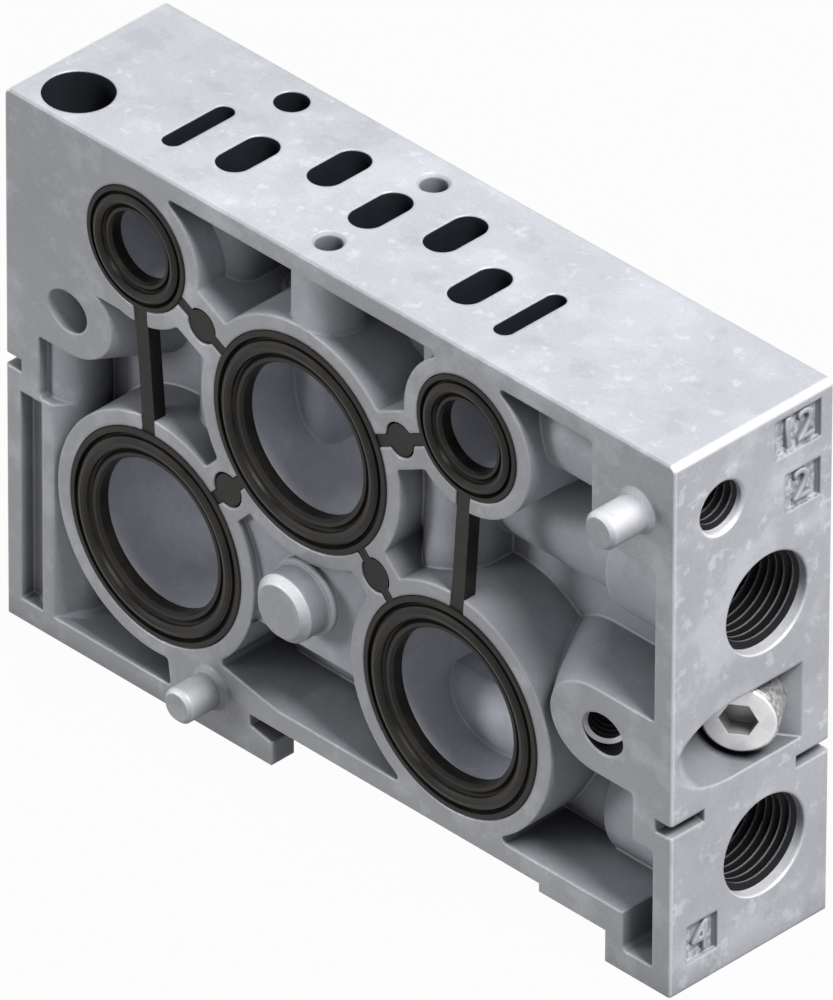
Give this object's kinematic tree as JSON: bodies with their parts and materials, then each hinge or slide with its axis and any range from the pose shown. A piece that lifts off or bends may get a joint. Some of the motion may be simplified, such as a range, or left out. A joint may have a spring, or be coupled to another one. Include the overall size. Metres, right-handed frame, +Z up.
{
  "type": "hydraulic valve subplate",
  "caption": "Die-cast stacking subplate for a slide valve: slotted valve face on top, tapped ports in one end, ring passages sealed by a moulded gasket, leaning clamp screws.",
  "frame": {"origin": "middle of the seat on the mounting rail, halfway through the depth", "axes": "+X along the body towards the end with the tapped ports, +Y from the gasket face to the back face, +Z up, out of the valve face"},
  "size_m": [0.0832, 0.0315, 0.0546],
  "materials": {
    "casting": "as cast",
    "gasket": "moulded",
    "screw": "bright plated"
  },
  "bodies": {
    "root": {"subplate_body": "casting", "seal_gasket": "gasket", "clamp_screw_right": "screw", "clamp_screw_left": "screw"}
  },
  "joints": []
}
